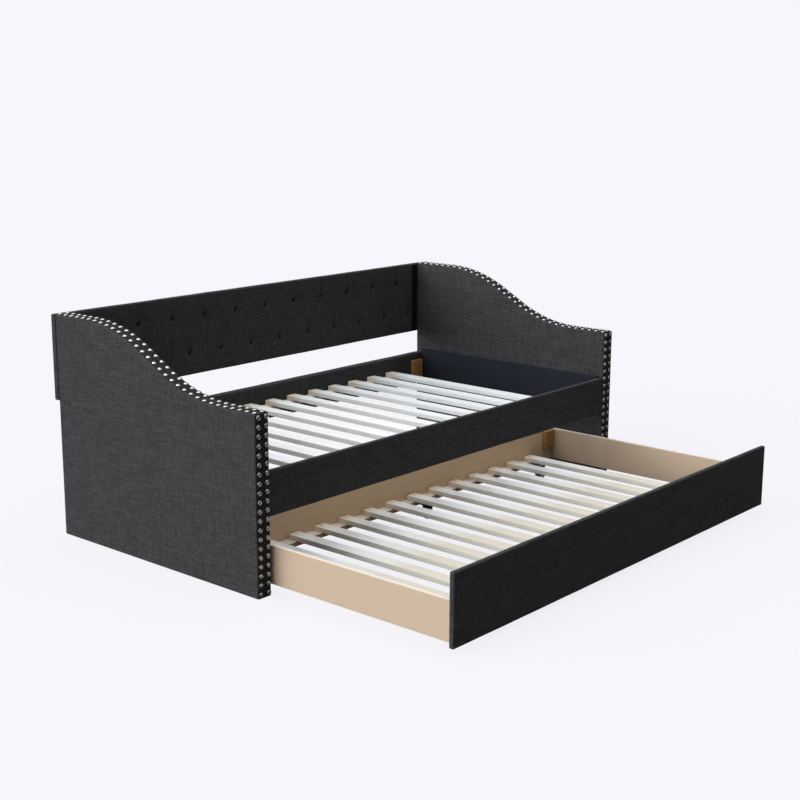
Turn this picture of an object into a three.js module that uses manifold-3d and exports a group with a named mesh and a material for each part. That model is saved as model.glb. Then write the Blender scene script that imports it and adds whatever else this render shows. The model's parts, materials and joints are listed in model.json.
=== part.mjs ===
// Upholstered daybed with a pull-out trundle on casters, in millimetres, +Z up.
// +X runs along the bed's length, and the trundle pulls out towards -Y.
// The origin is on the floor, at the middle of the whole object with the trundle pulled out.

import * as THREE from 'three';
import { mergeVertices } from 'three/addons/utils/BufferGeometryUtils.js';
import Module from 'manifold-3d';

const wasm = await Module();
wasm.setup();

// ---- driving dimensions -------------------------------------------------------------------

const GAP = 0.3;                    // clearance between pieces that touch

const INNER_LENGTH = 1950;          // between the arms' inner faces: a twin mattress and clearance
const ARM_THICKNESS = 60.5;
const ARM_DEPTH = 1035;
const ARM_LOW = 615;                // height of an arm at the front
const ARM_HIGH = 822;               // height of an arm at the back
const SCROLL_START = 175;           // where the top begins to rise, behind the front edge
const SCROLL_RADIUS = 600;          // of both the hollow and the crown of the S-shaped top
const SCROLL_ANGLE = THREE.MathUtils.degToRad(28.6);
const ARM_CORNER = 6;
const ARM_CURVE_STEPS = 8;          // chords in each of an arm outline's arcs
const COVER_WALL = 4;               // fabric over thin wadding
const COVER_ROUND = 3;
const COVER_LIFT = 1;               // the fabric stops just above the floor, the frame stands on it

const BACKREST_BOTTOM = 505;
const BACKREST_THICKNESS = 25;
const BACKREST_BOARD = 11;
const BACKREST_PAD = 12;            // foam in front of the board
const BACKREST_EDGE = 5;            // fabric and foam round the board's edges

const RAIL_BOTTOM = 265;
const FRONT_RAIL = { recess: 4.3, thickness: 18, top: 419 };
const BACK_RAIL = { face: 994, thickness: 40.7, top: 408 };
const END_RAIL = { thickness: 13, top: 428 };

const BATTEN = { width: 45, thickness: 18 };    // stock of the slat ledgers
const SLAT_COUNT = 13;
const SLAT = { width: 48, thickness: 19 };
const SLAT_ROUND = 2;
const BED_SLAT = { top: 348.6, pitch: 126, middle: -26, endGap: 5 };    // laid a little to the left
const CORNER_POST = { width: 65, thickness: 20, inset: 10.7, bottom: 290, top: 379 };

const TRUNDLE_OUT = 757;            // how far the trundle is pulled out at rest
const TRUNDLE_PANEL = { length: 1940, thickness: 18, bottom: 18, top: 256 };
const TRUNDLE_BOX = { width: 1934, depth: 1013.5, board: 15, bottom: 35, top: 168 };
const TRUNDLE_SLAT = { top: 81, pitch: 127.8, middle: 0, endGap: 8 };
const TRUNDLE_POST = { width: 64, thickness: 20, bottom: 90, top: 165 };

const WHEEL_RADIUS = 22;
const WHEEL_WIDTH = 18;
const WHEEL_EDGE = 2;
const WHEEL_STEPS = 20;
const AXLE_RADIUS = 3;
const AXLE_PLAY = 0.3;
const FORK = { wall: 2.5, inside: 21, foot: 11, shoulder: 17 };
const PLATE = { length: 60, width: 44, thickness: 2.5 };
const CASTER_INSET = 92;            // from the trundle's front and back to the wheels' axles
const CASTER_INWARDS = 22;          // from the end slats' middles to the end casters, inwards

// ---- materials ----------------------------------------------------------------------------

const finish = (color, roughness, metalness = 0) =>
    new THREE.MeshStandardMaterial({ color, roughness, metalness });

const fabric = finish(0x2b2c2e, 0.95);
const wood = finish(0xb89a78, 0.6);
const postWood = finish(0x7d5028, 0.6);
const slatWood = finish(0xe6e2d6, 0.7);
const steel = finish(0x1c1d20, 0.45, 0.6);
const rubber = finish(0x6c7077, 0.8);

// ---- geometry helpers ---------------------------------------------------------------------

const X = new THREE.Vector3(1, 0, 0);
const Y = new THREE.Vector3(0, 1, 0);
const Z = new THREE.Vector3(0, 0, 1);

// An extrusion runs along its own +Z: these turn that direction to +X or +Y.
const ALONG = {
    x: new THREE.Matrix4().makeBasis(Y, Z, X),
    y: new THREE.Matrix4().makeBasis(Z, X, Y),
    z: new THREE.Matrix4(),
};

function roundedRectangle(width, height, radius) {
    const w = width / 2 - radius;
    const h = height / 2 - radius;
    const shape = new THREE.Shape();
    shape.absarc(w, h, radius, 0, Math.PI / 2);
    shape.absarc(-w, h, radius, Math.PI / 2, Math.PI);
    shape.absarc(-w, -h, radius, Math.PI, 1.5 * Math.PI);
    shape.absarc(w, -h, radius, 1.5 * Math.PI, 2 * Math.PI);
    return shape;
}

// Extrudes a shape along one axis, centred on it.
function extrude(shape, length, axis, options = {}) {
    const geometry = new THREE.ExtrudeGeometry(shape, {
        depth: length, bevelEnabled: false, curveSegments: 3, ...options,
    });
    geometry.translate(0, 0, -length / 2);
    return geometry.applyMatrix4(ALONG[axis]);
}

// As extrude, with every rim rounded: the shape is drawn smaller by COVER_ROUND all round.
function softExtrude(shape, length, axis, curveSegments) {
    return extrude(shape, length - 2 * COVER_ROUND, axis, {
        curveSegments, bevelEnabled: true, bevelSegments: 1,
        bevelThickness: COVER_ROUND, bevelSize: COVER_ROUND,
    });
}

function mesh(name, geometry, material, x = 0, y = 0, z = 0) {
    const result = new THREE.Mesh(geometry, material);
    result.name = name;
    result.position.set(x, y, z);
    return result;
}

// A straight piece of timber between two corners, its long edges rounded, its grain along axis.
function plank(name, material, axis, low, high, radius = SLAT_ROUND) {
    const size = high.map((value, i) => value - low[i]);
    const centre = high.map((value, i) => (value + low[i]) / 2);
    const section = {
        x: [size[1], size[2]], y: [size[2], size[0]], z: [size[0], size[1]],
    }[axis];
    const length = size['xyz'.indexOf(axis)];
    const geometry = extrude(roundedRectangle(...section, radius), length, axis);
    return mesh(name, geometry, material, ...centre);
}

function toSolid(geometry) {
    const bare = geometry.clone();
    bare.deleteAttribute('normal');
    bare.deleteAttribute('uv');
    const merged = mergeVertices(bare, 1e-4);
    return new wasm.Manifold(new wasm.Mesh({
        numProp: 3,
        vertProperties: merged.attributes.position.array,
        triVerts: Uint32Array.from(merged.index.array),
    }));
}

function fromSolid(solid) {
    const { vertProperties, triVerts } = solid.getMesh();
    const geometry = new THREE.BufferGeometry();
    geometry.setAttribute('position', new THREE.BufferAttribute(vertProperties, 3));
    geometry.setIndex(new THREE.BufferAttribute(triVerts, 1));
    geometry.computeVertexNormals();
    return geometry;
}

const numbered = (stem, index) => `${stem}_${String(index + 1).padStart(2, '0')}`;

// ---- arms ---------------------------------------------------------------------------------

// Side view of an arm with y along the shape's x, drawn in from its outer size by inset.
function armOutline(inset, bottom) {
    const rise = ARM_HIGH - ARM_LOW;
    const sin = Math.sin(SCROLL_ANGLE);
    const cos = Math.cos(SCROLL_ANGLE);
    const straight = (rise - 2 * SCROLL_RADIUS * (1 - cos)) / sin;
    const scrollEnd = SCROLL_START + 2 * SCROLL_RADIUS * sin + straight * cos;
    const corner = ARM_CORNER - inset;

    const shape = new THREE.Shape();
    shape.moveTo(inset, bottom);
    shape.lineTo(inset, ARM_LOW - ARM_CORNER);
    shape.absarc(ARM_CORNER, ARM_LOW - ARM_CORNER, corner, Math.PI, Math.PI / 2, true);
    shape.absarc(SCROLL_START, ARM_LOW + SCROLL_RADIUS, SCROLL_RADIUS + inset,
        -Math.PI / 2, -Math.PI / 2 + SCROLL_ANGLE);
    shape.absarc(scrollEnd, ARM_HIGH - SCROLL_RADIUS, SCROLL_RADIUS - inset,
        Math.PI / 2 + SCROLL_ANGLE, Math.PI / 2, true);
    shape.absarc(ARM_DEPTH - ARM_CORNER, ARM_HIGH - ARM_CORNER, corner, Math.PI / 2, 0, true);
    shape.lineTo(ARM_DEPTH - inset, bottom);
    return shape;
}

function armFrame(name, x) {
    const thickness = ARM_THICKNESS - 2 * COVER_WALL;
    const geometry = extrude(armOutline(COVER_WALL, 0), thickness, 'x',
        { curveSegments: ARM_CURVE_STEPS });
    return mesh(name, geometry, wood, x);
}

// Fabric shell round the frame, open underneath, its edges softly rounded.
function armCover(name, x) {
    const outer = softExtrude(armOutline(COVER_ROUND, COVER_LIFT + COVER_ROUND),
        ARM_THICKNESS, 'x', ARM_CURVE_STEPS);
    const wall = COVER_WALL - GAP;
    const inner = extrude(armOutline(wall, -wall), ARM_THICKNESS - 2 * wall, 'x', {
        curveSegments: ARM_CURVE_STEPS,
    });
    return mesh(name, fromSolid(toSolid(outer).subtract(toSolid(inner))), fabric, x);
}

// ---- backrest -----------------------------------------------------------------------------

const TOTAL_LENGTH = INNER_LENGTH + 2 * ARM_THICKNESS;
const BACKREST_FRONT = ARM_DEPTH + GAP;
const BACKREST_BACK = BACKREST_FRONT + BACKREST_THICKNESS;
const BOARD_FRONT = BACKREST_FRONT + BACKREST_PAD;

function backrestBoard() {
    const halfLength = TOTAL_LENGTH / 2 - BACKREST_EDGE;
    return plank('backrest_board', wood, 'x',
        [-halfLength, BOARD_FRONT, BACKREST_BOTTOM + 1],
        [halfLength, BOARD_FRONT + BACKREST_BOARD, ARM_HIGH - BACKREST_EDGE]);
}

// Foam and fabric wrapped round the board, open along the bottom edge.
function backrestCover() {
    const height = ARM_HIGH - BACKREST_BOTTOM;
    const outline = roundedRectangle(height - 2 * COVER_ROUND, TOTAL_LENGTH - 2 * COVER_ROUND,
        BACKREST_EDGE - COVER_ROUND);
    const outer = softExtrude(outline, BACKREST_THICKNESS, 'y', 2);
    outer.translate(0, (BACKREST_FRONT + BACKREST_BACK) / 2, BACKREST_BOTTOM + height / 2);
    const pocket = new THREE.BoxGeometry(
        TOTAL_LENGTH - 2 * (BACKREST_EDGE - GAP), BACKREST_BOARD + 2 * GAP, height);
    pocket.translate(0, BOARD_FRONT + BACKREST_BOARD / 2,
        ARM_HIGH - BACKREST_EDGE + GAP - height / 2);
    return mesh('backrest_cover', fromSolid(toSolid(outer).subtract(toSolid(pocket))), fabric);
}

// ---- daybed -------------------------------------------------------------------------------

const HALF_INSIDE = INNER_LENGTH / 2 - GAP;
const FRONT_RAIL_BACK = FRONT_RAIL.recess + FRONT_RAIL.thickness;

function rails() {
    const endInner = INNER_LENGTH / 2 - END_RAIL.thickness;
    const ends = [-1, 1].map((side) => {
        const edges = [side * endInner, side * HALF_INSIDE].sort((a, b) => a - b);
        return plank(side < 0 ? 'left_end_rail' : 'right_end_rail', fabric, 'y',
            [edges[0], FRONT_RAIL_BACK + GAP, RAIL_BOTTOM],
            [edges[1], BACK_RAIL.face - GAP, END_RAIL.top]);
    });
    return [
        plank('front_rail', fabric, 'x', [-HALF_INSIDE, FRONT_RAIL.recess, RAIL_BOTTOM],
            [HALF_INSIDE, FRONT_RAIL_BACK, FRONT_RAIL.top], 4),
        plank('back_rail', fabric, 'x', [-HALF_INSIDE, BACK_RAIL.face, RAIL_BOTTOM],
            [HALF_INSIDE, BACK_RAIL.face + BACK_RAIL.thickness, BACK_RAIL.top], 6),
        ...ends,
    ];
}

const slatMiddle = (spec, index) => spec.middle + (index - (SLAT_COUNT - 1) / 2) * spec.pitch;

// Slats lie across the bed on two ledgers, evenly spaced.
function slats(stem, spec, front, back) {
    return Array.from({ length: SLAT_COUNT }, (_, i) => {
        const x = slatMiddle(spec, i);
        return plank(numbered(stem, i), slatWood, 'y',
            [x - SLAT.width / 2, front + spec.endGap, spec.top - SLAT.thickness],
            [x + SLAT.width / 2, back - spec.endGap, spec.top]);
    });
}

// Battens along the inside of the front and back that the slats rest on, as long as the deck.
function ledgers(stem, spec, front, back) {
    const left = slatMiddle(spec, 0) - SLAT.width / 2;
    const right = slatMiddle(spec, SLAT_COUNT - 1) + SLAT.width / 2;
    const top = spec.top - SLAT.thickness - GAP;
    const bottom = top - BATTEN.thickness;
    return [
        plank(`${stem}front_ledger`, wood, 'x', [left, front + GAP, bottom],
            [right, front + GAP + BATTEN.width, top]),
        plank(`${stem}back_ledger`, wood, 'x', [left, back - GAP - BATTEN.width, bottom],
            [right, back - GAP, top]),
    ];
}

// Upright blocks in the two rear corners.
function posts(stem, suffix, spec, outerEdge, back) {
    return [-1, 1].map((side) => {
        const edges = [side * (outerEdge - spec.width), side * outerEdge].sort((a, b) => a - b);
        return plank(`${stem}${side < 0 ? 'left' : 'right'}_${suffix}`, postWood, 'z',
            [edges[0], back - GAP - spec.thickness, spec.bottom],
            [edges[1], back - GAP, spec.top]);
    });
}

function daybed() {
    const group = new THREE.Group();
    const armX = (INNER_LENGTH + ARM_THICKNESS) / 2;
    const postOuter = INNER_LENGTH / 2 - END_RAIL.thickness - CORNER_POST.inset;
    group.add(
        armFrame('left_arm_frame', -armX),
        armFrame('right_arm_frame', armX),
        armCover('left_arm_cover', -armX),
        armCover('right_arm_cover', armX),
        backrestBoard(),
        backrestCover(),
        ...rails(),
        ...ledgers('', BED_SLAT, FRONT_RAIL_BACK, BACK_RAIL.face),
        ...posts('', 'rear_post', CORNER_POST, postOuter, BACK_RAIL.face),
        ...slats('bed_slat', BED_SLAT, FRONT_RAIL_BACK, BACK_RAIL.face),
    );
    return group;
}

// ---- trundle ------------------------------------------------------------------------------

const PANEL_BACK = TRUNDLE_PANEL.thickness;
const BOX_BACK = TRUNDLE_BOX.depth;
const BACK_FACE = BOX_BACK - TRUNDLE_BOX.board;
const HALF_BOX = TRUNDLE_BOX.width / 2;
const HALF_BOX_INSIDE = HALF_BOX - TRUNDLE_BOX.board;

function trundleBoards() {
    const { bottom, top } = TRUNDLE_BOX;
    const halfPanel = TRUNDLE_PANEL.length / 2;
    return [
        plank('trundle_front', fabric, 'x', [-halfPanel, 0, TRUNDLE_PANEL.bottom],
            [halfPanel, PANEL_BACK, TRUNDLE_PANEL.top], 4),
        plank('trundle_left_side', wood, 'y', [-HALF_BOX, PANEL_BACK + GAP, bottom],
            [-HALF_BOX_INSIDE, BOX_BACK, top]),
        plank('trundle_right_side', wood, 'y', [HALF_BOX_INSIDE, PANEL_BACK + GAP, bottom],
            [HALF_BOX, BOX_BACK, top]),
        plank('trundle_back', wood, 'x', [-HALF_BOX_INSIDE + GAP, BACK_FACE, bottom],
            [HALF_BOX_INSIDE - GAP, BOX_BACK, top]),
    ];
}

// Top plate, a fork cut from a folded channel, and the axle fixed between its two ears.
function casterBracketGeometry() {
    const plateTop = TRUNDLE_SLAT.top - SLAT.thickness - GAP - WHEEL_RADIUS;
    const height = plateTop - PLATE.thickness / 2;      // the channel is let into the plate
    const outside = FORK.inside + 2 * FORK.wall;

    const plate = new THREE.BoxGeometry(PLATE.length, PLATE.width, PLATE.thickness);
    plate.translate(0, 0, plateTop - PLATE.thickness / 2);

    const channel = new THREE.BoxGeometry(outside, PLATE.width, 2 * height);
    const hollow = new THREE.BoxGeometry(FORK.inside, PLATE.width + 2, 2 * (height - FORK.wall));
    const ear = new THREE.Shape();
    ear.moveTo(-FORK.shoulder, height);
    ear.lineTo(-FORK.foot, 0);
    ear.absarc(0, 0, FORK.foot, Math.PI, 2 * Math.PI);
    ear.lineTo(FORK.shoulder, height);
    const ears = extrude(ear, outside + 2, 'x', { curveSegments: 6 });

    const axle = new THREE.CylinderGeometry(AXLE_RADIUS, AXLE_RADIUS, outside + 2, 12);
    axle.rotateZ(Math.PI / 2);

    const fork = toSolid(channel).subtract(toSolid(hollow)).intersect(toSolid(ears));
    return fromSolid(fork.add(toSolid(plate)).add(toSolid(axle)));
}

function casterWheelGeometry() {
    const half = WHEEL_WIDTH / 2;
    const bore = AXLE_RADIUS + AXLE_PLAY;
    const rim = WHEEL_RADIUS - WHEEL_EDGE;
    const profile = [
        [bore, -half], [rim, -half], [WHEEL_RADIUS, WHEEL_EDGE - half],
        [WHEEL_RADIUS, half - WHEEL_EDGE], [rim, half], [bore, half], [bore, -half],
    ].map(([radius, along]) => new THREE.Vector2(radius, along));
    return new THREE.LatheGeometry(profile, WHEEL_STEPS).rotateZ(-Math.PI / 2);
}

// Fixed casters under the middle slat and just inside the end slats, near the front and back.
function casters() {
    const bracket = casterBracketGeometry();
    const wheel = casterWheelGeometry();
    const rows = [PANEL_BACK + CASTER_INSET, BACK_FACE - CASTER_INSET];
    const end = slatMiddle(TRUNDLE_SLAT, SLAT_COUNT - 1) - CASTER_INWARDS;
    const places = rows.flatMap((y) => [-end, 0, end].map((x) => [x, y]));
    return places.flatMap(([x, y], i) => [
        mesh(`caster_bracket_${i + 1}`, bracket, steel, x, y, WHEEL_RADIUS),
        mesh(`caster_wheel_${i + 1}`, wheel, rubber, x, y, WHEEL_RADIUS),
    ]);
}

// Built from its front face backwards, so y is 0 there.
function trundle() {
    const group = new THREE.Group();
    group.add(
        ...trundleBoards(),
        ...ledgers('trundle_', TRUNDLE_SLAT, PANEL_BACK, BACK_FACE),
        ...posts('trundle_', 'post', TRUNDLE_POST, HALF_BOX_INSIDE - GAP, BACK_FACE),
        ...slats('trundle_slat', TRUNDLE_SLAT, PANEL_BACK, BACK_FACE),
        ...casters(),
    );
    return group;
}

// ---- the whole object ---------------------------------------------------------------------

const bed = daybed();
const pulledOut = trundle();
pulledOut.position.y = -TRUNDLE_OUT;

const trundleBed = new THREE.Group();
trundleBed.add(bed, pulledOut);
trundleBed.position.y = (TRUNDLE_OUT - BACKREST_BACK) / 2;

export default trundleBed;
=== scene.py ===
"""Upholstery, timber finishes, nailheads, casters and stage for a daybed with a pull-out trundle.

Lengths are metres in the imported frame: +X along the bed, -Y the front, +Z up.
"""

import json
import math

import bmesh
import bpy
import numpy as np
from bpy.props import FloatProperty, FloatVectorProperty, IntProperty, PointerProperty
from mathutils import Euler, Matrix, Vector, noise

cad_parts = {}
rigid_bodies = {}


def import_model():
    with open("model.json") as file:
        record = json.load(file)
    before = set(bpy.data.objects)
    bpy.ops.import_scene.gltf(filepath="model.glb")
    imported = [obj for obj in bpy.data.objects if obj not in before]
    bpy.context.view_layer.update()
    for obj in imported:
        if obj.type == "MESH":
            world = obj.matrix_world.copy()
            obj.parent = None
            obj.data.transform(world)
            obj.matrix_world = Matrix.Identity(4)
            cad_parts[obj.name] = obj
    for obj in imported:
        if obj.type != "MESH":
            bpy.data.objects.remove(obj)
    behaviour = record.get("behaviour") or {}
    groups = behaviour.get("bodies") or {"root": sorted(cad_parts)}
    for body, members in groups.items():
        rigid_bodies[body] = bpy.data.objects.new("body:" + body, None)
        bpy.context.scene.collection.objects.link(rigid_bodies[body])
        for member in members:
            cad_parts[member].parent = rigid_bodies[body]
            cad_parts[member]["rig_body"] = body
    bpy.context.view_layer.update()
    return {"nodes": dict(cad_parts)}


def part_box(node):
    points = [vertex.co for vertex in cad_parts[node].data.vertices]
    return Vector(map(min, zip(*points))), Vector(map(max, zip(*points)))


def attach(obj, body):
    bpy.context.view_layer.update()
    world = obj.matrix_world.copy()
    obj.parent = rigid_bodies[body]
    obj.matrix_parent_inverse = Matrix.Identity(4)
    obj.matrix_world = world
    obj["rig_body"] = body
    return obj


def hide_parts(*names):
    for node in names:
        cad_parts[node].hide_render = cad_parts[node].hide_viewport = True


bl_info = {
    "name": "Upholstered trundle bed",
    "version": (1, 0, 0),
    "blender": (4, 5, 0),
    "location": "View3D > Sidebar > Trundle bed",
    "description": "Covers, trims and finishes for a daybed with a pull-out trundle",
    "category": "Object",
}

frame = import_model()

SUPPORT = 0.001         # grid line that holds a flat face flat beside its rounded edge
GRID_STEP = 0.03        # between the grid lines of a flat face
WADDING_SCALE = 7.0     # waves of the wadding in each metre
SLAT_COUNT = 13
WHEEL_COUNT = 6
SMALL_SEGMENTS = 18     # sides of the round nails, buttons and screws
WHEEL_SEGMENTS = 44


# ---- settings -----------------------------------------------------------------------------


def length(name, description, default):
    return FloatProperty(name=name, description=description, default=default,
                         unit="LENGTH", precision=4)


def colour(name, description, default):
    return FloatVectorProperty(name=name, description=description, default=default,
                               subtype="COLOR", size=4, min=0.0, max=1.0)


class CoverSizes(bpy.types.PropertyGroup):
    """Sizes of the fabric covers."""

    edge_round: length("Edge rounding", "Radius of a wrapped board's edges", 0.004)
    arm_wall: length("Arm cover", "Fabric and wadding over an arm's frame", 0.0036)
    arm_gap: length("Arm gap", "Gap between an arm's back and the backrest", 0.003)
    slack: length("Slack", "How far the wadding wanders from flat", 0.0006)
    scroll_start: length("Scroll start", "Level part of an arm's top at the front", 0.175)
    scroll_radius: length("Scroll radius", "Hollow and crown of the arm's top", 0.6)
    scroll_angle: FloatProperty(name="Scroll slope", description="Steepest slope of the arm's top",
                                default=math.radians(28.6), subtype="ANGLE")
    border_margin: length("Border margin", "Arm's edge to the nailed border strip", 0.0035)
    border_thickness: length("Border thickness", "Folded fabric of the border strip", 0.0012)


class TuftSizes(bpy.types.PropertyGroup):
    """Sizes of the backrest's tufting."""

    pitch: length("Button pitch", "Between the buttons of one row", 0.16575)
    offset: length("Button offset", "How far the buttons sit to the right", 0.0057)
    upper: length("Upper row", "Top edge of the backrest down to the upper row", 0.084)
    lower: length("Lower row", "Bottom edge of the backrest up to the lower row", 0.088)
    pull: length("Pull", "How deep a button pulls the pad in", 0.0112)
    pinch: length("Pinch", "Radius of the narrow pit round a button", 0.0098)
    hollow: length("Hollow", "Depth of the wide hollow round a button", 0.0022)
    reach: length("Reach", "Radius of that wide hollow", 0.036)
    pleat: length("Pleat", "Depth of the pleats above and below a button", 0.0034)
    pleat_width: length("Pleat width", "Half the width of a pleat", 0.0048)
    pleat_reach: length("Pleat reach", "Length of a pleat", 0.026)
    puff: length("Puff", "How far the pad swells between its edges", 0.0026)
    puff_edge: length("Puff edge", "How near an edge the swell begins", 0.03)
    arm_flat: length("Flat end", "End of the pad that lies flat behind an arm", 0.0605)
    # Painted shade: width of the dark strip that stands for the shade in the gap between the pad
    # and each arm.
    fold: length("End fold", "Width of the dark fold beside each arm", 0.036)
    button: length("Button", "Width of a covered button", 0.0138)
    # Painted shade: the dark buttons are drawn taller than wide to stretch the shade of their
    # pits.
    button_tall: FloatProperty(name="Button shape", description="Height of a button to its width",
                               default=1.4)


class TrimSizes(bpy.types.PropertyGroup):
    """Sizes of the nailheads, screws and wheels."""

    nail: length("Nailhead", "Diameter of a nailhead", 0.0178)
    nail_height: length("Nailhead height", "How far a nailhead stands out", 0.0048)
    nail_outer: length("Outer row", "Arm's outer edge to the outer row of nails", 0.0152)
    nail_inner: length("Inner row", "Arm's inner edge to the inner row of nails", 0.0118)
    nail_end: length("Last nail", "First and last nails to the ends of the top", 0.0125)
    top_nails: IntProperty(name="Top nails", description="Nails in a row along an arm's top",
                           default=32)
    front_nails: IntProperty(name="Front nails", description="Nails in a row down an arm's front",
                             default=20)
    screw: length("Screw", "Diameter of a slat screw's head", 0.0085)
    hub: length("Hub", "Radius of a wheel's hub", 0.0125)


class Finishes(bpy.types.PropertyGroup):
    """Colours of the materials, as linear light.

    Those of the boards and slats differ by face and place. The long boards' paler tone, the paler
    faces that look up, the slats' lighter sides and the greyer bed slats to the right are painted
    light and shade; the cream front of the trundle's slats is partly their own tone and partly
    painted bounce light. The near-black buttons and end strips are painted shade.
    """

    fabric: colour("Fabric", "Charcoal linen-look upholstery", (0.0450, 0.0448, 0.0466, 1))
    # Painted shade: the buttons and the strips beside the arms are near black, standing for the
    # shade in the deep pits and the narrow gaps.
    button: colour("Button", "Dark cloth of the tuft buttons", (0.008, 0.008, 0.009, 1))
    border: colour("Border", "Darker tape under the nailheads", (0.023, 0.023, 0.025, 1))
    lining: colour("Lining", "Smooth blue-black cloth of the end rails",
                   (0.0165, 0.0195, 0.0265, 1))
    board: colour("Board", "Clear finished birch", (0.535, 0.415, 0.305, 1))
    # Painted light: the long boards are paler than the other birch, so that they look lit inside
    # the trundle's shaded box.
    long_board_painted_light: colour("Back board", "Lighter, warmer tone of the long boards",
                       (0.91, 0.66, 0.42, 1))
    # Painted light: the boards' faces that look up are paler, as the light from above falls on
    # them.
    painted_top_light: colour("Sawn edge", "Pale upper edges of the boards", (0.80, 0.77, 0.72, 1))
    board_dark: colour("Board grain", "Darker grain of the birch", (0.54, 0.395, 0.265, 1))
    slat: colour("Slat", "Pale planed softwood", (0.945, 0.97, 0.975, 1))
    # Painted shade: the bed's slats turn greyer toward its right, as the right arm shades them.
    slat_painted_shade: colour("Grey slats", "Duller slats on the bed's right", (0.71, 0.755, 0.78, 1))
    # Partly the slats' own cream tone and partly painted warm bounce light: the trundle's slats
    # turn creamier toward the front.
    slat_cream_and_bounce_light: colour("Cream slats", "Creamier front half of the trundle's slats",
                       (0.67, 0.625, 0.53, 1))
    # Painted light: the slats' faces that look along the bed are lighter, as the light from the
    # left falls on them; the trundle's are also warmer in their own tone.
    slat_side_painted_light: colour("Bed slat side", "Lighter sides of the bed's slats", (0.98, 0.98, 0.96, 1))
    slat_side_warm_painted_light: colour("Trundle slat side", "Warmer sides of the trundle's slats",
                           (0.93, 0.90, 0.79, 1))
    slat_end: colour("Slat end", "Yellower ends of the slats", (0.78, 0.66, 0.46, 1))
    slat_dark: colour("Slat grain", "Darker grain of the slats", (0.74, 0.72, 0.65, 1))
    post: colour("Post", "Brown timber blocks", (0.41, 0.222, 0.075, 1))
    post_dark: colour("Post grain", "Darker grain of the blocks", (0.25, 0.125, 0.042, 1))
    nickel: colour("Nickel", "Dark nickel nailheads", (0.50, 0.475, 0.455, 1))
    screw: colour("Screw", "Zinc-plated slat screws", (0.36, 0.32, 0.25, 1))
    steel: colour("Steel", "Black coated caster brackets", (0.018, 0.018, 0.020, 1))
    tyre: colour("Tyre", "Grey moulded wheels", (0.60, 0.62, 0.70, 1))


class StageSettings(bpy.types.PropertyGroup):
    """Camera, floor and light."""

    eye: FloatVectorProperty(name="Eye", description="Where the camera stands",
                             default=(-3.952, -3.280, 1.624), size=3, subtype="XYZ",
                             unit="LENGTH")
    turn: FloatProperty(name="Turn", description="Camera's heading, clockwise from +Y",
                        default=math.radians(48.9), subtype="ANGLE")
    tilt: FloatProperty(name="Tilt", description="Camera's slope below level",
                        default=math.radians(12.29), subtype="ANGLE")
    roll: FloatProperty(name="Roll", description="Camera's roll", default=math.radians(0.161),
                        subtype="ANGLE")
    lens: FloatProperty(name="Lens", description="Focal length in millimetres", default=62.64,
                        subtype="DISTANCE_CAMERA")
    shift: FloatVectorProperty(name="Shift", description="Lens shift", default=(0.0057, -0.0126),
                               size=2)
    backdrop: colour("Backdrop", "Floor and background", (0.930, 0.922, 0.973, 1))
    floor_radius: length("Floor radius", "Half the width of the floor", 60.0)
    ambient: FloatProperty(name="Ambient", description="Light from all round", default=0.18)
    overhead: FloatProperty(name="Overhead", description="Light from above", default=2.55)
    side: FloatProperty(name="Side", description="Light from the left", default=5.55)
    tint: colour("Tint", "Cool cast of the light", (0.970, 0.977, 1.0, 1))
    bounce: FloatProperty(name="Bounce", description="Part of the light that the floor returns",
                          default=0.08)
    floor_light: FloatProperty(name="Floor light", description="Light that reaches open floor",
                               default=1.378)


# ---- shader building ----------------------------------------------------------------------


class Term:
    """One shader value. Arithmetic on terms adds Math nodes."""

    def __init__(self, nodes, socket):
        self.nodes = nodes
        self.socket = socket

    def math(self, operation, first, second=0.0):
        return self.nodes.add("ShaderNodeMath", {"operation": operation}, {0: first, 1: second})

    def __add__(self, other):
        return self.math("ADD", self, other)

    __radd__ = __add__

    def __sub__(self, other):
        return self.math("SUBTRACT", self, other)

    def __rsub__(self, other):
        return self.math("SUBTRACT", other, self)

    def __mul__(self, other):
        return self.math("MULTIPLY", self, other)

    __rmul__ = __mul__

    def __pow__(self, other):
        return self.math("POWER", self, other)

    def sine(self):
        return self.math("SINE", self)

    def size(self):
        return self.math("ABSOLUTE", self)

    def clamped(self, low, high):
        """0 at low, 1 at high, straight between and level beyond."""
        return self.nodes.add("ShaderNodeMapRange", {"clamp": True},
                              {"Value": self, "From Min": low, "From Max": high})


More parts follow.
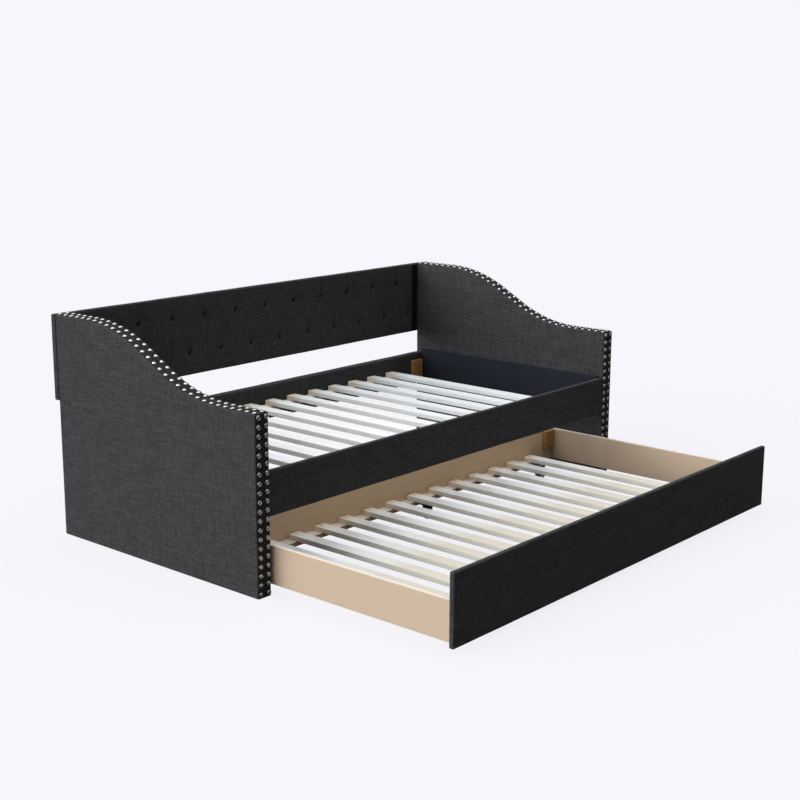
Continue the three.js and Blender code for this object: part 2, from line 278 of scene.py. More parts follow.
class Nodes:
    """A node tree being filled. Every node is made by add()."""

    def __init__(self, tree):
        self.tree = tree
        tree.nodes.clear()

    def add(self, kind, settings=None, sockets=None, output=0):
        node = self.tree.nodes.new(kind)
        for name, value in (settings or {}).items():
            setattr(node, name, value)
        for name, value in (sockets or {}).items():
            if isinstance(value, Term):
                self.tree.links.new(value.socket, node.inputs[name])
            else:
                node.inputs[name].default_value = value
        return Term(self, node.outputs[output]) if node.outputs else None

    def split(self, vector):
        first = self.add("ShaderNodeSeparateXYZ", sockets={0: vector})
        return [Term(self, socket) for socket in first.socket.node.outputs]

    def scaled(self, vector, factors):
        return self.add("ShaderNodeVectorMath", {"operation": "MULTIPLY"},
                        {0: vector, 1: factors})

    def noise(self, vector, factors, detail=2.0, roughness=0.5, distortion=0.0):
        """Noise whose features are 1 / factors metres long along each axis."""
        return self.add("ShaderNodeTexNoise", None, {
            "Vector": self.scaled(vector, factors), "Scale": 1.0, "Detail": detail,
            "Roughness": roughness, "Distortion": distortion})

    def mix(self, factor, first, second, blend="MIX"):
        return self.add("ShaderNodeMix", {"data_type": "RGBA", "blend_type": blend},
                        {0: factor, 6: first, 7: second}, output=2)

    def shade(self, base, amount):
        """A colour made lighter or darker by a plain value."""
        return self.mix(1.0, base, amount, "MULTIPLY")

    def bump(self, height, distance):
        return self.add("ShaderNodeBump", None,
                        {"Height": height, "Distance": distance, "Strength": 1.0})

    def surface(self, **sockets):
        names = {key.replace("_", " ").title().replace("Ior", "IOR"): value
                 for key, value in sockets.items()}
        shader = self.add("ShaderNodeBsdfPrincipled", None, names)
        self.add("ShaderNodeOutputMaterial", None, {"Surface": shader})


def new_material(name):
    material = bpy.data.materials.new(name)
    material.use_nodes = True
    return material, Nodes(material.node_tree)


# ---- materials ----------------------------------------------------------------------------


def woven(name, base, yarn, slub, relief, sheen):
    """Plain-woven cloth: yarns at their real pitch, thick and thin slubs, faint mottling."""
    material, nodes = new_material(name)
    place = nodes.add("ShaderNodeTexCoord", output="Object")
    facing = [part * part for part in nodes.split(
        nodes.add("ShaderNodeTexCoord", output="Normal"))]
    ripple = [(part * (math.tau / yarn)).sine() for part in nodes.split(place)]
    weave = (facing[0] * ripple[1] * ripple[2] + facing[1] * ripple[0] * ripple[2]
             + facing[2] * ripple[0] * ripple[1])
    upright = nodes.noise(place, (230, 230, 17), detail=2.0, roughness=0.45)
    level = nodes.noise(place, (17, 17, 230), detail=2.0, roughness=0.45)
    flecks = nodes.noise(place, (240, 240, 240), detail=1.0) - 0.5
    mottle = nodes.noise(place, (5, 5, 5), detail=2.0)
    threads = (upright - 0.5) + (level - 0.5)
    tone = 1.0 + (threads + flecks) * slub + (mottle - 0.5) * 0.10 + weave * 0.10
    height = weave * 0.5 + threads * 1.2
    nodes.surface(
        base_color=nodes.shade(base, tone),
        roughness=0.86 + threads * 0.25,
        sheen_weight=sheen, sheen_roughness=0.45, specular_ior_level=0.10,
        normal=nodes.bump(height, relief))
    return material


def timber(name, light, dark, grain, figure, roughness, painted_top_light=None, ends=None, sides=None,
           tone_and_painted_light=None):
    """Planed wood. grain is the axis number that its fibres follow.

    sawn is the colour painted on its faces that look up, as the light from above: painted light.
    ends is that of its two ends. sides is the colour painted on the faces that look along the bed,
    as the light that falls on them: painted light. toned is a second colour painted in along one
    axis as light and shade, on the trundle's slats partly their own cream tone, the number of that
    axis, and where it starts and is full.
    """
    material, nodes = new_material(name)
    place = nodes.add("ShaderNodeTexCoord", output="Object")

    def stretched(across, along):
        return [along if axis == grain else across for axis in range(3)]

    fibres = nodes.noise(place, stretched(700, 9), detail=3.0, roughness=0.65)
    bands = nodes.noise(place, stretched(42, 1.6), detail=4.0, roughness=0.55, distortion=0.6)
    rings = ((bands * 34.0).sine() * 0.5 + 0.5) ** 2.0
    patches = nodes.noise(place, stretched(7, 2.2), detail=1.0)
    pores = nodes.noise(place, stretched(1500, 30), detail=1.0).clamped(0.60, 0.72)
    depth = (rings * figure + (fibres - 0.5) * 0.55 + (patches - 0.5) * 0.5 + pores * 0.18)
    wood = nodes.mix(depth.clamped(-0.25, 1.0), light, dark)
    normal = nodes.split(nodes.add("ShaderNodeTexCoord", output="Normal"))
    # Painted light and shade: a second colour that comes in along one axis; on the trundle's slats
    # it is partly their own cream tone.
    if tone_and_painted_light is not None:
        tone, axis, start, full = tone_and_painted_light
        along = nodes.split(place)[axis] + (patches - 0.5) * 0.2
        wood = nodes.mix(along.clamped(start, full), wood, tone)
    # Painted light: faces that look along the bed turn lighter, as the light from the left falls
    # on them.
    if sides is not None:
        wood = nodes.mix(normal[0].size().clamped(0.80, 0.95) * 0.8, wood, sides)
    # Painted light: faces that look up turn paler, as the light from above falls on them.
    if painted_top_light is not None:
        wood = nodes.mix(normal[2].clamped(0.80, 0.95) * 0.8, wood, painted_top_light)
    if ends is not None:
        along = nodes.split(nodes.add("ShaderNodeTexCoord", output="Generated"))[grain]
        near_end = ((along - 0.5).size() + (patches - 0.5) * 0.06).clamped(0.42, 0.50)
        wood = nodes.mix(near_end * 0.75, wood, ends)
    nodes.surface(
        base_color=wood,
        roughness=roughness + (fibres - 0.5) * 0.2,
        specular_ior_level=0.35,
        normal=nodes.bump(fibres - pores * 0.7 - rings * 0.25, 0.00012))
    return material


def polished(name, base, roughness):
    """Plated metal with fine rubbing marks and a little tarnish."""
    material, nodes = new_material(name)
    place = nodes.add("ShaderNodeTexCoord", output="Object")
    marks = nodes.noise(place, (900, 900, 900), detail=2.0)
    tarnish = nodes.noise(place, (55, 55, 55), detail=2.0)
    nodes.surface(
        base_color=nodes.shade(base, 0.90 + tarnish * 0.18),
        metallic=1.0,
        roughness=roughness + (marks - 0.5) * 0.08 + (tarnish - 0.5) * 0.10,
        normal=nodes.bump(marks, 0.00002))
    return material


def moulded(name, base, roughness):
    """Moulded or coated surface with a fine orange-peel grain."""
    material, nodes = new_material(name)
    place = nodes.add("ShaderNodeTexCoord", output="Object")
    grain = nodes.noise(place, (1400, 1400, 1400), detail=2.0)
    dust = nodes.noise(place, (60, 60, 60), detail=3.0)
    nodes.surface(
        base_color=nodes.shade(base, 0.85 + dust * 0.35),
        roughness=roughness + (dust - 0.5) * 0.2,
        normal=nodes.bump(grain, 0.00008))
    return material


MATERIALS = {}


def material_for(key):
    """Makes each material once, the first time that a piece asks for it."""
    finishes = bpy.context.scene.bed_finishes
    makers = {
        "fabric": lambda: woven("charcoal_linen", finishes.fabric, 0.0016, 1.15, 0.00035, 0.02),
        # Painted shade: near-black cloth for the buttons and for the strips beside the arms.
        "button": lambda: woven("painted_shade_cloth", finishes.button, 0.0008, 0.4, 0.00020, 0.0),
        "border": lambda: woven("border_tape", finishes.border, 0.0010, 0.5, 0.00025, 0.02),
        "lining": lambda: woven("lining_cloth", finishes.lining, 0.0010, 0.5, 0.00015, 0.02),
        # Painted light: the long boards get the paler colour that stands for light inside the
        # trundle's box.
        "board_x": lambda: timber("birch_lengthwise_painted_light", finishes.long_board_painted_light,
                                  finishes.board_dark, 0, 0.20, 0.48, finishes.painted_top_light),
        "board_y": lambda: timber("birch_crosswise", finishes.board, finishes.board_dark,
                                  1, 0.30, 0.48, finishes.painted_top_light),
        # Painted light and shade on the slats: lighter sides, greyer bed slats to the right, and a
        # trundle front that is creamier partly in its own tone and partly as painted bounce light.
        "bed_slat": lambda: timber("bed_slat_wood", finishes.slat, finishes.slat_dark, 1, 0.16,
                                   0.55, ends=finishes.slat_end, sides=finishes.slat_side_painted_light,
                                   tone_and_painted_light=(finishes.slat_painted_shade, 0, 0.0, 0.45)),
        "trundle_slat": lambda: timber("trundle_slat_wood", finishes.slat, finishes.slat_dark,
                                       1, 0.16, 0.55, ends=finishes.slat_end,
                                       sides=finishes.slat_side_warm_painted_light,
                                       tone_and_painted_light=(finishes.slat_cream_and_bounce_light, 1, -0.24, -0.42)),
        "post": lambda: timber("brown_block", finishes.post, finishes.post_dark, 2, 0.45, 0.5),
        "nickel": lambda: polished("nickel_nailhead", finishes.nickel, 0.25),
        "screw": lambda: polished("zinc_screw", finishes.screw, 0.42),
        "steel": lambda: moulded("black_coated_steel", finishes.steel, 0.40),
        "tyre": lambda: moulded("grey_tyre", finishes.tyre, 0.58),
    }
    if key not in MATERIALS:
        MATERIALS[key] = makers[key]()
    return MATERIALS[key]


# ---- mesh building ------------------------------------------------------------------------


def grid_lines(low, high, radius, step, wanted=()):
    """Places of the grid lines along one side: close together round the two edges."""
    turns = [radius * (1 - math.tan(math.radians(angle))) for angle in (45, 30, 15, 0)]
    turns.append(radius + SUPPORT)
    near = [low + turn for turn in turns]
    far = [high - turn for turn in reversed(turns)]
    inside = [value for value in wanted if near[-1] + SUPPORT < value < far[0] - SUPPORT]
    if not inside:
        count = max(1, round((far[0] - near[-1]) / step))
        inside = list(np.linspace(near[-1], far[0], count + 1))[1:-1]
    return near + sorted(inside) + far


def rounded_block(low, high, radius, step=GRID_STEP, lines=None):
    """Points and faces of a box with rounded edges, its faces divided into a grid."""
    grid = [(lines or {}).get(axis) or grid_lines(low[axis], high[axis], radius, step)
            for axis in range(3)]
    index = {}
    faces = []

    def vertex(axis, value, u, first, v, second):
        point = [0.0, 0.0, 0.0]
        point[axis] = value
        point[u] = first
        point[v] = second
        return index.setdefault(tuple(round(part, 7) for part in point), len(index))

    for axis in range(3):
        u, v = (axis + 1) % 3, (axis + 2) % 3
        for value, flipped in ((grid[axis][0], True), (grid[axis][-1], False)):
            for a, b in zip(grid[u], grid[u][1:]):
                for c, d in zip(grid[v], grid[v][1:]):
                    loop = [vertex(axis, value, u, p, v, q)
                            for p, q in ((a, c), (b, c), (b, d), (a, d))]
                    faces.append(loop[::-1] if flipped else loop)
    points = np.array(list(index))
    core = np.clip(points, np.array(low) + radius, np.array(high) - radius)
    away = points - core
    away /= np.linalg.norm(away, axis=1, keepdims=True)
    return core + away * radius, faces, away


def wander(points, normals, amount):
    """Moves points along their normals by smooth noise, as soft wadding lies."""
    places = [Vector(point) * WADDING_SCALE for point in points]
    shifts = [noise.noise(place) + 0.4 * noise.noise(place * 3.1) for place in places]
    return points + normals * (np.array(shifts) * amount)[:, None]


def new_piece(name, points, faces, key, body, smooth=True):
    mesh = bpy.data.meshes.new(name)
    mesh.from_pydata([tuple(point) for point in points], [], [list(face) for face in faces])
    mesh.materials.append(material_for(key))
    mesh.polygons.foreach_set("use_smooth", [smooth] * len(mesh.polygons))
    mesh.update()
    piece = bpy.data.objects.new(name, mesh)
    bpy.context.scene.collection.objects.link(piece)
    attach(piece, body)
    return piece


def revolve(profile, segments):
    """Points and faces of a profile of (radius, height) pairs turned round +Z."""
    points = []
    rings = []
    for radius, height in profile:
        if radius == 0:
            rings.append([len(points)])
            points.append((0.0, 0.0, height))
            continue
        rings.append(list(range(len(points), len(points) + segments)))
        points += [(radius * math.cos(math.tau * i / segments),
                    radius * math.sin(math.tau * i / segments), height)
                   for i in range(segments)]
    faces = []
    for lower, upper in zip(rings, rings[1:]):
        for i in range(segments):
            j = (i + 1) % segments
            corners = [lower[i % len(lower)], lower[j % len(lower)],
                       upper[j % len(upper)], upper[i % len(upper)]]
            faces.append(list(dict.fromkeys(corners)))
    return points, faces


def scattered(shape, places):
    """Copies of one shape at several matrices, joined into one mesh."""
    points, faces = shape
    all_points = []
    all_faces = []
    for matrix in places:
        start = len(all_points)
        all_points += [matrix @ Vector(point) for point in points]
        all_faces += [[start + i for i in face] for face in faces]
    return all_points, all_faces


def outward(place, direction):
    """A matrix that stands +Z along a direction at a place."""
    turn = Vector((0, 0, 1)).rotation_difference(Vector(direction))
    return Matrix.Translation(place) @ turn.to_matrix().to_4x4()


def applied(piece):
    """Turns a piece's modifiers into its mesh."""
    shaped = piece.evaluated_get(bpy.context.evaluated_depsgraph_get())
    mesh = bpy.data.meshes.new_from_object(shaped)
    piece.modifiers.clear()
    piece.data = mesh


def wrapped_board(node, name, key, radius=None, wave=1.0):
    """A board wrapped in cloth over thin wadding, in the place of its CAD node."""
    covers = bpy.context.scene.bed_covers
    low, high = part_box(node)
    points, faces, normals = rounded_block(low, high, radius or covers.edge_round)
    points = wander(points, normals, covers.slack * wave)
    piece = new_piece(name, points, faces, key, frame["nodes"][node]["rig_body"])
    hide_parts(node)


# ---- arms ---------------------------------------------------------------------------------


def arm_top(y, front, low, high):
    """Height of an arm's scrolled top at y: level, hollow arc, straight, crown arc, level."""
    covers = bpy.context.scene.bed_covers
    radius, angle = covers.scroll_radius, covers.scroll_angle
    straight = (high - low - 2 * radius * (1 - math.cos(angle))) / math.sin(angle)
    run = y - front - covers.scroll_start
    arc = radius * math.sin(angle)
    if run <= 0:
        return low
    if run < arc:
        return low + radius - math.sqrt(radius ** 2 - run ** 2)
    if run < arc + straight * math.cos(angle):
        return low + radius * (1 - math.cos(angle)) + (run - arc) * math.tan(angle)
    left = 2 * arc + straight * math.cos(angle) - run
    if left > 0:
        return high - radius + math.sqrt(radius ** 2 - left ** 2)
    return high


def arm_shape(side):
    """Box of an arm's cover and the height of its top at the front."""
    near_front = 0.03
    low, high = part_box(f"{side}_arm_cover")
    corners = [vertex.co for vertex in frame["nodes"][f"{side}_arm_frame"].data.vertices]
    wall = high.z - max(corner.z for corner in corners)
    front = min(corner.y for corner in corners)
    front_top = max(corner.z for corner in corners if corner.y < front + near_front) + wall
    return low, high, front_top


def upholster_arm(side):
    """Cloth shell over an arm's frame, open at the floor."""
    covers = bpy.context.scene.bed_covers
    low, high, front_top = arm_shape(side)
    back = Vector((high.x, high.y - covers.arm_gap, high.z))
    points, faces, normals = rounded_block(low, back, covers.edge_round, step=0.025)
    points = wander(points, normals, covers.slack)
    for point in points:
        top = arm_top(point[1], low.y, front_top, high.z)
        point[2] = low.z + (point[2] - low.z) * (top - low.z) / (high.z - low.z)
    under = low.z + covers.slack * 2
    open_below = [face for face in faces if not all(
        points[i][2] < under and abs(normals[i][2] + 1) < 0.01 for i in face)]
    piece = new_piece(f"{side}_arm_upholstery", points, open_below, "fabric", "daybed")
    shell = piece.modifiers.new("thickness", "SOLIDIFY")
    shell.thickness = covers.arm_wall
    shell.offset = -1.0
    applied(piece)
    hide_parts(f"{side}_arm_cover")


def arm_edge(side):
    """Centre line of an arm's edge: up the front, round the corner and along the top."""
    low, high, front_top = arm_shape(side)
    corner = 0.006      # radius of the turn from the front to the top
    path = [(low.y, z) for z in np.linspace(low.z, front_top - corner, 30)]
    path += [(low.y + corner * (1 - math.cos(turn)), front_top - corner * (1 - math.sin(turn)))
             for turn in np.linspace(0, math.pi / 2, 6)[1:]]
    path += [(y, arm_top(y, low.y, front_top, high.z))
             for y in np.linspace(low.y + corner, high.y, 90)[1:]]
    return np.array(path)


def normals_along(path):
    """Outward normals of the edge line, pointing to the front and up."""
    steps = np.gradient(path, axis=0)
    steps /= np.linalg.norm(steps, axis=1, keepdims=True)
    return np.stack([-steps[:, 1], steps[:, 0]], axis=1)


def border_strip(side):
    """Folded strip of cloth along an arm's edge, under the nails."""
    covers = bpy.context.scene.bed_covers
    low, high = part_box(f"{side}_arm_cover")
    path = arm_edge(side)
    normals = normals_along(path)
    fold = covers.border_thickness
    bevel = fold * 0.6
    left, right = low.x + covers.border_margin, high.x - covers.border_margin
    section = [(left, -fold / 2), (left, bevel), (left + bevel, fold),
               (right - bevel, fold), (right, bevel), (right, -fold / 2)]
    points = [(x, *(spot + normal * lift)) for spot, normal in zip(path, normals)
              for x, lift in section]
    width = len(section)
    faces = []
    for row in range(len(path) - 1):
        for i in range(width):
            j = (i + 1) % width
            a, b = row * width, (row + 1) * width
            faces.append([a + i, a + j, b + j, b + i])
    faces.append(list(range(width))[::-1])
    faces.append([len(points) - width + i for i in range(width)])
    piece = new_piece(f"{side}_arm_border", points, faces, "border", "daybed")
    piece.data.set_sharp_from_angle(angle=math.radians(50))


def nailhead(trims):
    """A domed head with a thin rim, closed below."""
    radius, height = trims.nail / 2, trims.nail_height
    rim = height * 0.14
    dome = [(radius * math.cos(turn), rim + (height - rim) * math.sin(turn))
            for turn in np.linspace(0, math.pi / 2, 7)[:-1]]
    return revolve([(0, 0), (radius * 0.97, 0), *dome, (0, height)], SMALL_SEGMENTS)


def nail_arm(side):
    """Two rows of nailheads, along the top and down the front of an arm."""
    trims = bpy.context.scene.bed_trims
    covers = bpy.context.scene.bed_covers
    low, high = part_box(f"{side}_arm_cover")
    path = arm_edge(side)
    normals = normals_along(path)
    walked = np.concatenate([[0], np.cumsum(np.linalg.norm(np.diff(path, axis=0), axis=1))])
    turning = low.y + 0.003
    corner = np.interp(turning, path[:, 0], walked)
    top = np.linspace(corner + trims.nail_end, walked[-1] - trims.nail_end, trims.top_nails)
    front = np.linspace(trims.nail_end, corner - trims.nail_end, trims.front_nails)
    outer, inner = (low.x, high.x) if side == "left" else (high.x, low.x)
    inwards = 1 if side == "left" else -1
    lift = covers.border_thickness
    places = []
    for x in (outer + inwards * trims.nail_outer, inner - inwards * trims.nail_inner):
        for distance in (*front, *top):
            y, z, ny, nz = (np.interp(distance, walked, column) for column in
                            (path[:, 0], path[:, 1], normals[:, 0], normals[:, 1]))
            places.append(outward((x, y + ny * lift, z + nz * lift), (0, ny, nz)))
    points, faces = scattered(nailhead(trims), places)
    piece = new_piece(f"{side}_arm_nailheads", points, faces, "nickel", "daybed")
    piece.data.set_sharp_from_angle(angle=math.radians(40))


# ---- backrest -----------------------------------------------------------------------------


def button_places():
    """(x, z) of every tuft between the arms: the two rows are half a pitch apart."""
    tufts = bpy.context.scene.bed_tufts
    low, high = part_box("backrest_cover")
    upper, lower = high.z - tufts.upper, low.z + tufts.lower
    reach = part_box("right_arm_cover")[0].x - tufts.button
    half = tufts.pitch / 2
    count = int(reach / half)
    return [(tufts.offset + i * half, upper if i % 2 == 0 else lower)
            for i in range(-count, count + 1)]


def tuft_depth(x, z, buttons):
    """How far the pad's face is pulled in: a narrow pit in a wide shallow hollow."""
    tufts = bpy.context.scene.bed_tufts
    away = np.hypot(x[:, None] - buttons[:, 0], z[:, None] - buttons[:, 1])
    pits = np.exp(-(away / tufts.pinch) ** 2).sum(axis=1)
    hollows = np.exp(-(away / tufts.reach) ** 2).sum(axis=1)
    return pits * (tufts.pull - tufts.hollow) + hollows * tufts.hollow


def pleat_depth(x, z, buttons):
    """Short soft pleats that run up and down from each button."""
    tufts = bpy.context.scene.bed_tufts
    across = np.abs(x[:, None] - buttons[:, 0])
    along = np.abs(z[:, None] - buttons[:, 1])
    pleats = np.exp(-(across / tufts.pleat_width) ** 2 - (along / tufts.pleat_reach) ** 2)
    return pleats.sum(axis=1) * tufts.pleat


def pad_swell(x, z):
    """How far the pad's face stands out: nothing at its edges and behind the arms."""
    tufts = bpy.context.scene.bed_tufts
    fade = 0.04         # length beside an arm over which the swell grows
    low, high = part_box("backrest_cover")
    edge = np.minimum(z - low.z, high.z - z)
    between_arms = np.clip((high.x - tufts.arm_flat - np.abs(x)) / fade, 0, 1)
    return tufts.puff * (1 - np.exp(-edge / tufts.puff_edge)) * between_arms


def upholster_backrest():
    """Button-tufted pad wrapped round the backrest's board, open along the bottom edge."""
    covers = bpy.context.scene.bed_covers
    low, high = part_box("backrest_cover")
    buttons = np.array(button_places())
    pad_round = covers.edge_round * 1.4
    pit_lines = (0, 0.0025, 0.005, 0.0075, 0.0105, 0.0145, 0.020, 0.029)
    beside = pit_lines + (0.0414,)
    above = pit_lines + (0.041, 0.056, 0.072)
    columns = sorted({round(x + sign * step, 6) for x in set(buttons[:, 0])
                      for step in beside for sign in (-1, 1)})
    rows = sorted({round(z + sign * step, 6) for z in set(buttons[:, 1])
                   for step in above for sign in (-1, 1)})
    lines = {0: grid_lines(low.x, high.x, pad_round, GRID_STEP, columns),
             2: grid_lines(low.z, high.z, pad_round, GRID_STEP, rows)}
    points, faces, normals = rounded_block(low, high, pad_round, lines=lines)
    points = wander(points, normals, covers.slack)
    middle = (low.y + high.y) / 2
    weight = np.clip((middle - points[:, 1]) / (middle - low.y), 0, 1)
    depth = tuft_depth(points[:, 0], points[:, 2], buttons)
    depth += pleat_depth(points[:, 0], points[:, 2], buttons)
    points[:, 1] += weight * (depth - pad_swell(points[:, 0], points[:, 2]))
    pad = new_piece("backrest_upholstery", points, faces, "fabric", "daybed")
    cut_board_pocket(pad)
    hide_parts("backrest_cover")


def cut_board_pocket(pad):
    """Hollows the pad for its board, through the bottom edge."""
    clearance = Vector((0.0003, 0.0003, 0.0003))
    low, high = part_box("backrest_board")
    low, high = low - clearance, high + clearance
    low.z -= 0.05       # well past the pad's bottom edge
    bpy.ops.mesh.primitive_cube_add(size=1.0, location=(low + high) / 2)
    cutter = bpy.context.object
    cutter.scale = high - low
    cut = pad.modifiers.new("pocket", "BOOLEAN")
    cut.operation = "DIFFERENCE"
    cut.solver = "EXACT"
    cut.object = cutter
    bpy.context.view_layer.update()
    applied(pad)
    bpy.data.objects.remove(cutter)


def cover_buttons():
    """Cloth-covered buttons, sunk in the tufts. Their near-black cloth and tall shape are painted
    shade for the pits.
    """
    tufts = bpy.context.scene.bed_tufts
    low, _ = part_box("backrest_cover")
    radius = tufts.button / 2
    crown = radius * 0.45
    dome = [(radius * math.cos(turn), crown * math.sin(turn))
            for turn in np.linspace(0, math.pi / 2, 6)[:-1]]
    points, faces = revolve([(0, -radius * 0.5), (radius * 0.9, -radius * 0.3), *dome,
                             (0, crown)], SMALL_SEGMENTS)
    points = [(x, y * tufts.button_tall, z) for x, y, z in points]
    depth = low.y + tufts.pull - radius * 0.25
    places = [outward((x, depth, z), (0, -1, 0)) for x, z in button_places()]
    points, faces = scattered((points, faces), places)
    new_piece("tuft_buttons", points, faces, "button", "daybed")


def painted_gap_shade(side):
    """A thin near-black strip between the pad's face and an arm, its edge uneven: painted shade
    for the gap there.
    """
    tufts = bpy.context.scene.bed_tufts
    low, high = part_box("backrest_cover")
    arm_low, arm_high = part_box(f"{side}_arm_cover")
    seam, inwards = (arm_high.x, 1) if side == "left" else (arm_low.x, -1)
    thickness = 0.0016
    raggedness = 0.006
    waves = 34          # of the uneven edge in each metre
    rows = np.linspace(low.z + 0.004, high.z - 0.005, 70)
    points = []
    for z in rows:
        ragged = raggedness * noise.noise(Vector((seam, 3.0, z * waves)))
        for x in (seam, seam + inwards * (tufts.fold + ragged)):
            swell = float(pad_swell(np.array([x]), np.array([z]))[0])
            for lift in (0.0, thickness):
                points.append((x, low.y - swell - lift, z))
    sides = [(1, 3), (3, 2), (2, 0), (0, 1)]
    faces = [(4 * row + i, 4 * row + j, 4 * row + 4 + j, 4 * row + 4 + i)
             for row in range(len(rows) - 1) for i, j in sides]
    end = 4 * (len(rows) - 1)
    faces += [(0, 1, 3, 2), (end, end + 2, end + 3, end + 1)]
    if side == "left":
        faces = [face[::-1] for face in faces]
    # Painted shade: the dark strip stands for the shade in the gap beside the arm.
    new_piece(f"backrest_{side}_fold", points, faces, "button", "daybed", smooth=False)


# ---- timber, screws and casters -----------------------------------------------------------


def finish_timber():
    """Gives every wooden CAD piece the wood whose grain runs along it."""
    grain = {"board_x": ["backrest_board", "front_ledger", "back_ledger", "trundle_back",
                         "trundle_front_ledger", "trundle_back_ledger"],
             "board_y": ["left_arm_frame", "right_arm_frame", "trundle_left_side",
                         "trundle_right_side"],
             "post": ["left_rear_post", "right_rear_post", "trundle_left_post",
                      "trundle_right_post"],
             "bed_slat": [f"bed_slat_{i + 1:02d}" for i in range(SLAT_COUNT)],
             "trundle_slat": [f"trundle_slat_{i + 1:02d}" for i in range(SLAT_COUNT)]}
    for key, nodes in grain.items():
        for node in nodes:
            paint(node, key)


def paint(node, key):
    piece = frame["nodes"][node]
    piece.data.materials.clear()
    piece.data.materials.append(material_for(key))


def drive_screws():
    """A screw through each end of every trundle slat, over the middle of its ledger."""
    trims = bpy.context.scene.bed_trims
    radius = trims.screw / 2
    socket = radius * 0.42
    sunk = -0.001
    shape = revolve([(0, sunk), (radius, sunk), (radius, 0.0001), (radius * 0.7, 0.0007),
                     (socket, 0.0009), (socket * 0.9, -0.0004), (0, -0.0005)], SMALL_SEGMENTS)
    places = []
    for ledger in ("trundle_front_ledger", "trundle_back_ledger"):
        low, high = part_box(ledger)
        for i in range(SLAT_COUNT):
            first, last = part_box(f"trundle_slat_{i + 1:02d}")
            spot = Vector(((first.x + last.x) / 2, (low.y + high.y) / 2, last.z))
            places.append(Matrix.Translation(spot))
    points, faces = scattered(shape, places)
    piece = new_piece("trundle_slat_screws", points, faces, "screw", "trundle")
    piece.data.set_sharp_from_angle(angle=math.radians(35))


def fit_wheel(number):
    """A moulded wheel with a rounded tread and a recessed hub, in the place of its CAD node."""
    trims = bpy.context.scene.bed_trims
    node = f"caster_wheel_{number}"
    low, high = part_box(node)
    centre = (low + high) / 2
    half, radius = (high.x - low.x) / 2, (high.z - low.z) / 2
    bore = 0.0033
    hub_face = half - 0.0012
    dish_face = half - half * 0.35
    shoulder = radius * 0.86
    tread = [(shoulder + (radius - shoulder) * math.sin(turn),
              half - half * 0.45 * (1 - math.cos(turn)))
             for turn in np.linspace(0, math.pi / 2, 6)]
    outer = [(bore, hub_face), (trims.hub * 0.55, hub_face), (trims.hub * 0.6, dish_face),
             (trims.hub * 1.25, dish_face), (trims.hub * 1.32, half), *tread]
    profile = outer + [(r, -h) for r, h in reversed(outer)]
    points, faces = revolve(profile[::-1], WHEEL_SEGMENTS)
    inner = len(points) - WHEEL_SEGMENTS
    faces += [[i, (i + 1) % WHEEL_SEGMENTS, inner + (i + 1) % WHEEL_SEGMENTS, inner + i]
              for i in range(WHEEL_SEGMENTS)]
    place = outward(centre, (1, 0, 0))
    piece = new_piece(f"caster_tyre_{number}", [place @ Vector(p) for p in points], faces,
                      "tyre", f"wheel_{number}")
    bm = bmesh.new()
    bm.from_mesh(piece.data)
    bmesh.ops.recalc_face_normals(bm, faces=bm.faces)
    bm.to_mesh(piece.data)
    bm.free()
    piece.data.set_sharp_from_angle(angle=math.radians(38))
    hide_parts(node)


# ---- stage --------------------------------------------------------------------------------


def set_camera(stage):
    data = bpy.data.cameras.new("camera")
    data.lens = stage.lens
    data.shift_x, data.shift_y = stage.shift
    camera = bpy.data.objects.new("camera", data)
    camera.location = stage.eye
    camera.rotation_euler = Euler((math.pi / 2 - stage.tilt, -stage.roll, -stage.turn))
    bpy.context.scene.collection.objects.link(camera)
    bpy.context.scene.camera = camera


def lay_floor(stage):
    """A pale floor that the camera sees evenly bright, and that returns little light."""
    material, nodes = new_material("pale_floor")
    seen = nodes.add("ShaderNodeLightPath", output="Is Camera Ray")
    returned = tuple(part * stage.bounce for part in stage.backdrop[:3]) + (1,)
    missing = [part * (1.0 - stage.bounce * stage.floor_light * tint)
               for part, tint in zip(stage.backdrop, stage.tint)]
    glow = nodes.mix(seen, (0, 0, 0, 1), tuple(missing))
    nodes.surface(base_color=returned, roughness=1.0, specular_ior_level=0.0,
                  emission_color=glow, emission_strength=1.0)
    radius = stage.floor_radius
    mesh = bpy.data.meshes.new("floor")
    mesh.from_pydata([(-radius, -radius, 0), (radius, -radius, 0), (radius, radius, 0),
                      (-radius, radius, 0)], [], [(0, 1, 2, 3)])
    mesh.materials.append(material)
    floor = bpy.data.objects.new("floor", mesh)
    bpy.context.scene.collection.objects.link(floor)


def light_room(stage):
    """Soft light from above and from the left, and an even backdrop."""
    world = bpy.data.worlds.new("studio")
    bpy.context.scene.world = world
    world.use_nodes = True
    nodes = Nodes(world.node_tree)
    x, y, z = nodes.split(nodes.add("ShaderNodeTexCoord", output="Generated"))
    above = z.clamped(0.70, 0.95)
    left = (y * 0.44 - x * 0.88 + z * 0.17).clamped(0.72, 0.95)
    strength = stage.ambient + above * stage.overhead + left * stage.side
    seen = nodes.add("ShaderNodeLightPath", output="Is Camera Ray")
    lighting = nodes.add("ShaderNodeBackground", None,
                         {"Color": tuple(stage.tint), "Strength": strength})
    backdrop = nodes.add("ShaderNodeBackground", None,
                         {"Color": tuple(stage.backdrop), "Strength": 1.0})
    shown = nodes.add("ShaderNodeMixShader", None, {0: seen, 1: lighting, 2: backdrop})
    nodes.add("ShaderNodeOutputWorld", None, {"Surface": shown})
    bpy.context.scene.view_settings.view_transform = "Standard"


# ---- operators ----------------------------------------------------------------------------


class BED_OT_stage(bpy.types.Operator):
    """Set the camera, floor and light"""

    bl_idname = "bed.stage"
    bl_label = "Stage"

    def execute(self, context):
        set_camera(context.scene.bed_stage)
        lay_floor(context.scene.bed_stage)
        light_room(context.scene.bed_stage)
        return {"FINISHED"}


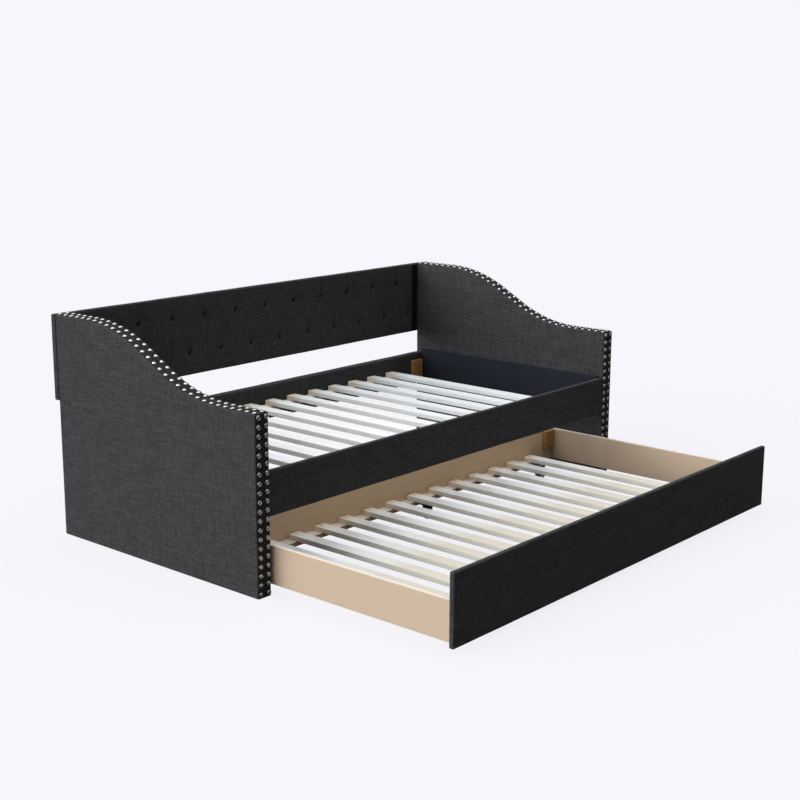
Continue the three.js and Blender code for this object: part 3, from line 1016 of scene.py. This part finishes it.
class BED_OT_arms(bpy.types.Operator):
    """Cover both arms and lay their border strips"""

    bl_idname = "bed.arms"
    bl_label = "Arms"

    def execute(self, context):
        for side in ("left", "right"):
            upholster_arm(side)
            border_strip(side)
        return {"FINISHED"}


class BED_OT_nailheads(bpy.types.Operator):
    """Nail the arms' border strips"""

    bl_idname = "bed.nailheads"
    bl_label = "Nailheads"

    def execute(self, context):
        for side in ("left", "right"):
            nail_arm(side)
        return {"FINISHED"}


class BED_OT_backrest(bpy.types.Operator):
    """Tuft the backrest, set its dark buttons and lay dark strips of painted shade at its ends"""

    bl_idname = "bed.backrest"
    bl_label = "Backrest"

    def execute(self, context):
        upholster_backrest()
        cover_buttons()
        for side in ("left", "right"):
            painted_gap_shade(side)
        return {"FINISHED"}


class BED_OT_rails(bpy.types.Operator):
    """Wrap the rails round the bed's base"""

    bl_idname = "bed.rails"
    bl_label = "Rails"

    def execute(self, context):
        wrapped_board("front_rail", "front_rail_cloth", "fabric")
        wrapped_board("back_rail", "back_rail_cloth", "fabric", radius=0.006)
        for side in ("left", "right"):
            wrapped_board(f"{side}_end_rail", f"{side}_end_rail_cloth", "lining",
                          radius=0.003, wave=0.5)
        return {"FINISHED"}


class BED_OT_trundle_front(bpy.types.Operator):
    """Wrap the trundle's front panel"""

    bl_idname = "bed.trundle_front"
    bl_label = "Trundle front"

    def execute(self, context):
        wrapped_board("trundle_front", "trundle_front_cloth", "fabric")
        return {"FINISHED"}


class BED_OT_timber(bpy.types.Operator):
    """Finish the slats, boards and blocks, and drive the slat screws"""

    bl_idname = "bed.timber"
    bl_label = "Timber"

    def execute(self, context):
        finish_timber()
        drive_screws()
        return {"FINISHED"}


class BED_OT_casters(bpy.types.Operator):
    """Fit the wheels and finish their brackets"""

    bl_idname = "bed.casters"
    bl_label = "Casters"

    def execute(self, context):
        for number in range(1, WHEEL_COUNT + 1):
            fit_wheel(number)
            paint(f"caster_bracket_{number}", "steel")
        return {"FINISHED"}


class BED_PT_panel(bpy.types.Panel):
    """Steps that build the bed's visible pieces"""

    bl_idname = "BED_PT_panel"
    bl_label = "Trundle bed"
    bl_space_type = "VIEW_3D"
    bl_region_type = "UI"
    bl_category = "Trundle bed"

    def draw(self, context):
        for operator in OPERATORS:
            self.layout.operator(operator.bl_idname)


SETTINGS = {"bed_covers": CoverSizes, "bed_tufts": TuftSizes, "bed_trims": TrimSizes,
            "bed_finishes": Finishes, "bed_stage": StageSettings}
OPERATORS = (BED_OT_stage, BED_OT_arms, BED_OT_nailheads, BED_OT_backrest, BED_OT_rails,
             BED_OT_trundle_front, BED_OT_timber, BED_OT_casters)


def register():
    for kind in (*SETTINGS.values(), *OPERATORS, BED_PT_panel):
        bpy.utils.register_class(kind)
    for name, kind in SETTINGS.items():
        setattr(bpy.types.Scene, name, PointerProperty(type=kind))


def unregister():
    for name in SETTINGS:
        delattr(bpy.types.Scene, name)
    for kind in reversed((*SETTINGS.values(), *OPERATORS, BED_PT_panel)):
        bpy.utils.unregister_class(kind)


def main():
    register()
    bpy.ops.bed.stage()
    bpy.ops.bed.arms()
    bpy.ops.bed.nailheads()
    bpy.ops.bed.backrest()
    bpy.ops.bed.rails()
    bpy.ops.bed.trundle_front()
    bpy.ops.bed.timber()
    bpy.ops.bed.casters()


if __name__ == "__main__":
    main()
